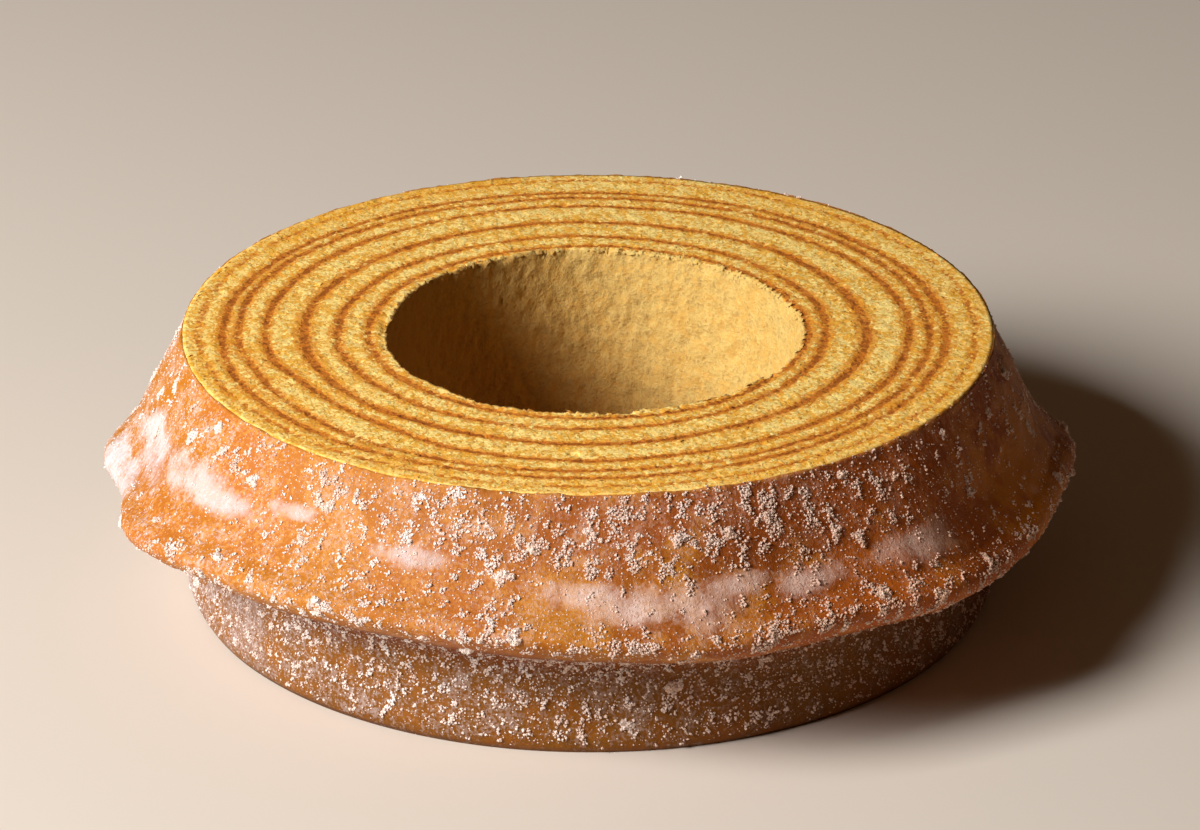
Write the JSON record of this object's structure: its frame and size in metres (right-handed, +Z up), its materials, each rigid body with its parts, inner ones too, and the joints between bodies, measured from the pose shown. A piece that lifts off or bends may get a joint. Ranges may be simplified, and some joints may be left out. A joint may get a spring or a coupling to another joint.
{
  "type": "ring baumkuchen",
  "caption": "Ring of layered baumkuchen with a swollen ridge round its sugared crust, cut flat above and below, with a wide hole through it.",
  "frame": {"origin": "middle of the bounding box, on the surface that the ring stands on", "axes": "+Z up through the hole, from the lower cut face to the upper one; +Y away from the side that the picture shows; +X to that view's right"},
  "size_m": [0.1553, 0.1548, 0.0427],
  "materials": {
    "cake": null,
    "glaze": "thin dried sugar glaze, satin",
    "sugar": "coarse white sugar, matte with a slight sparkle"
  },
  "bodies": {
    "root": {"cake": "cake"}
  },
  "joints": []
}
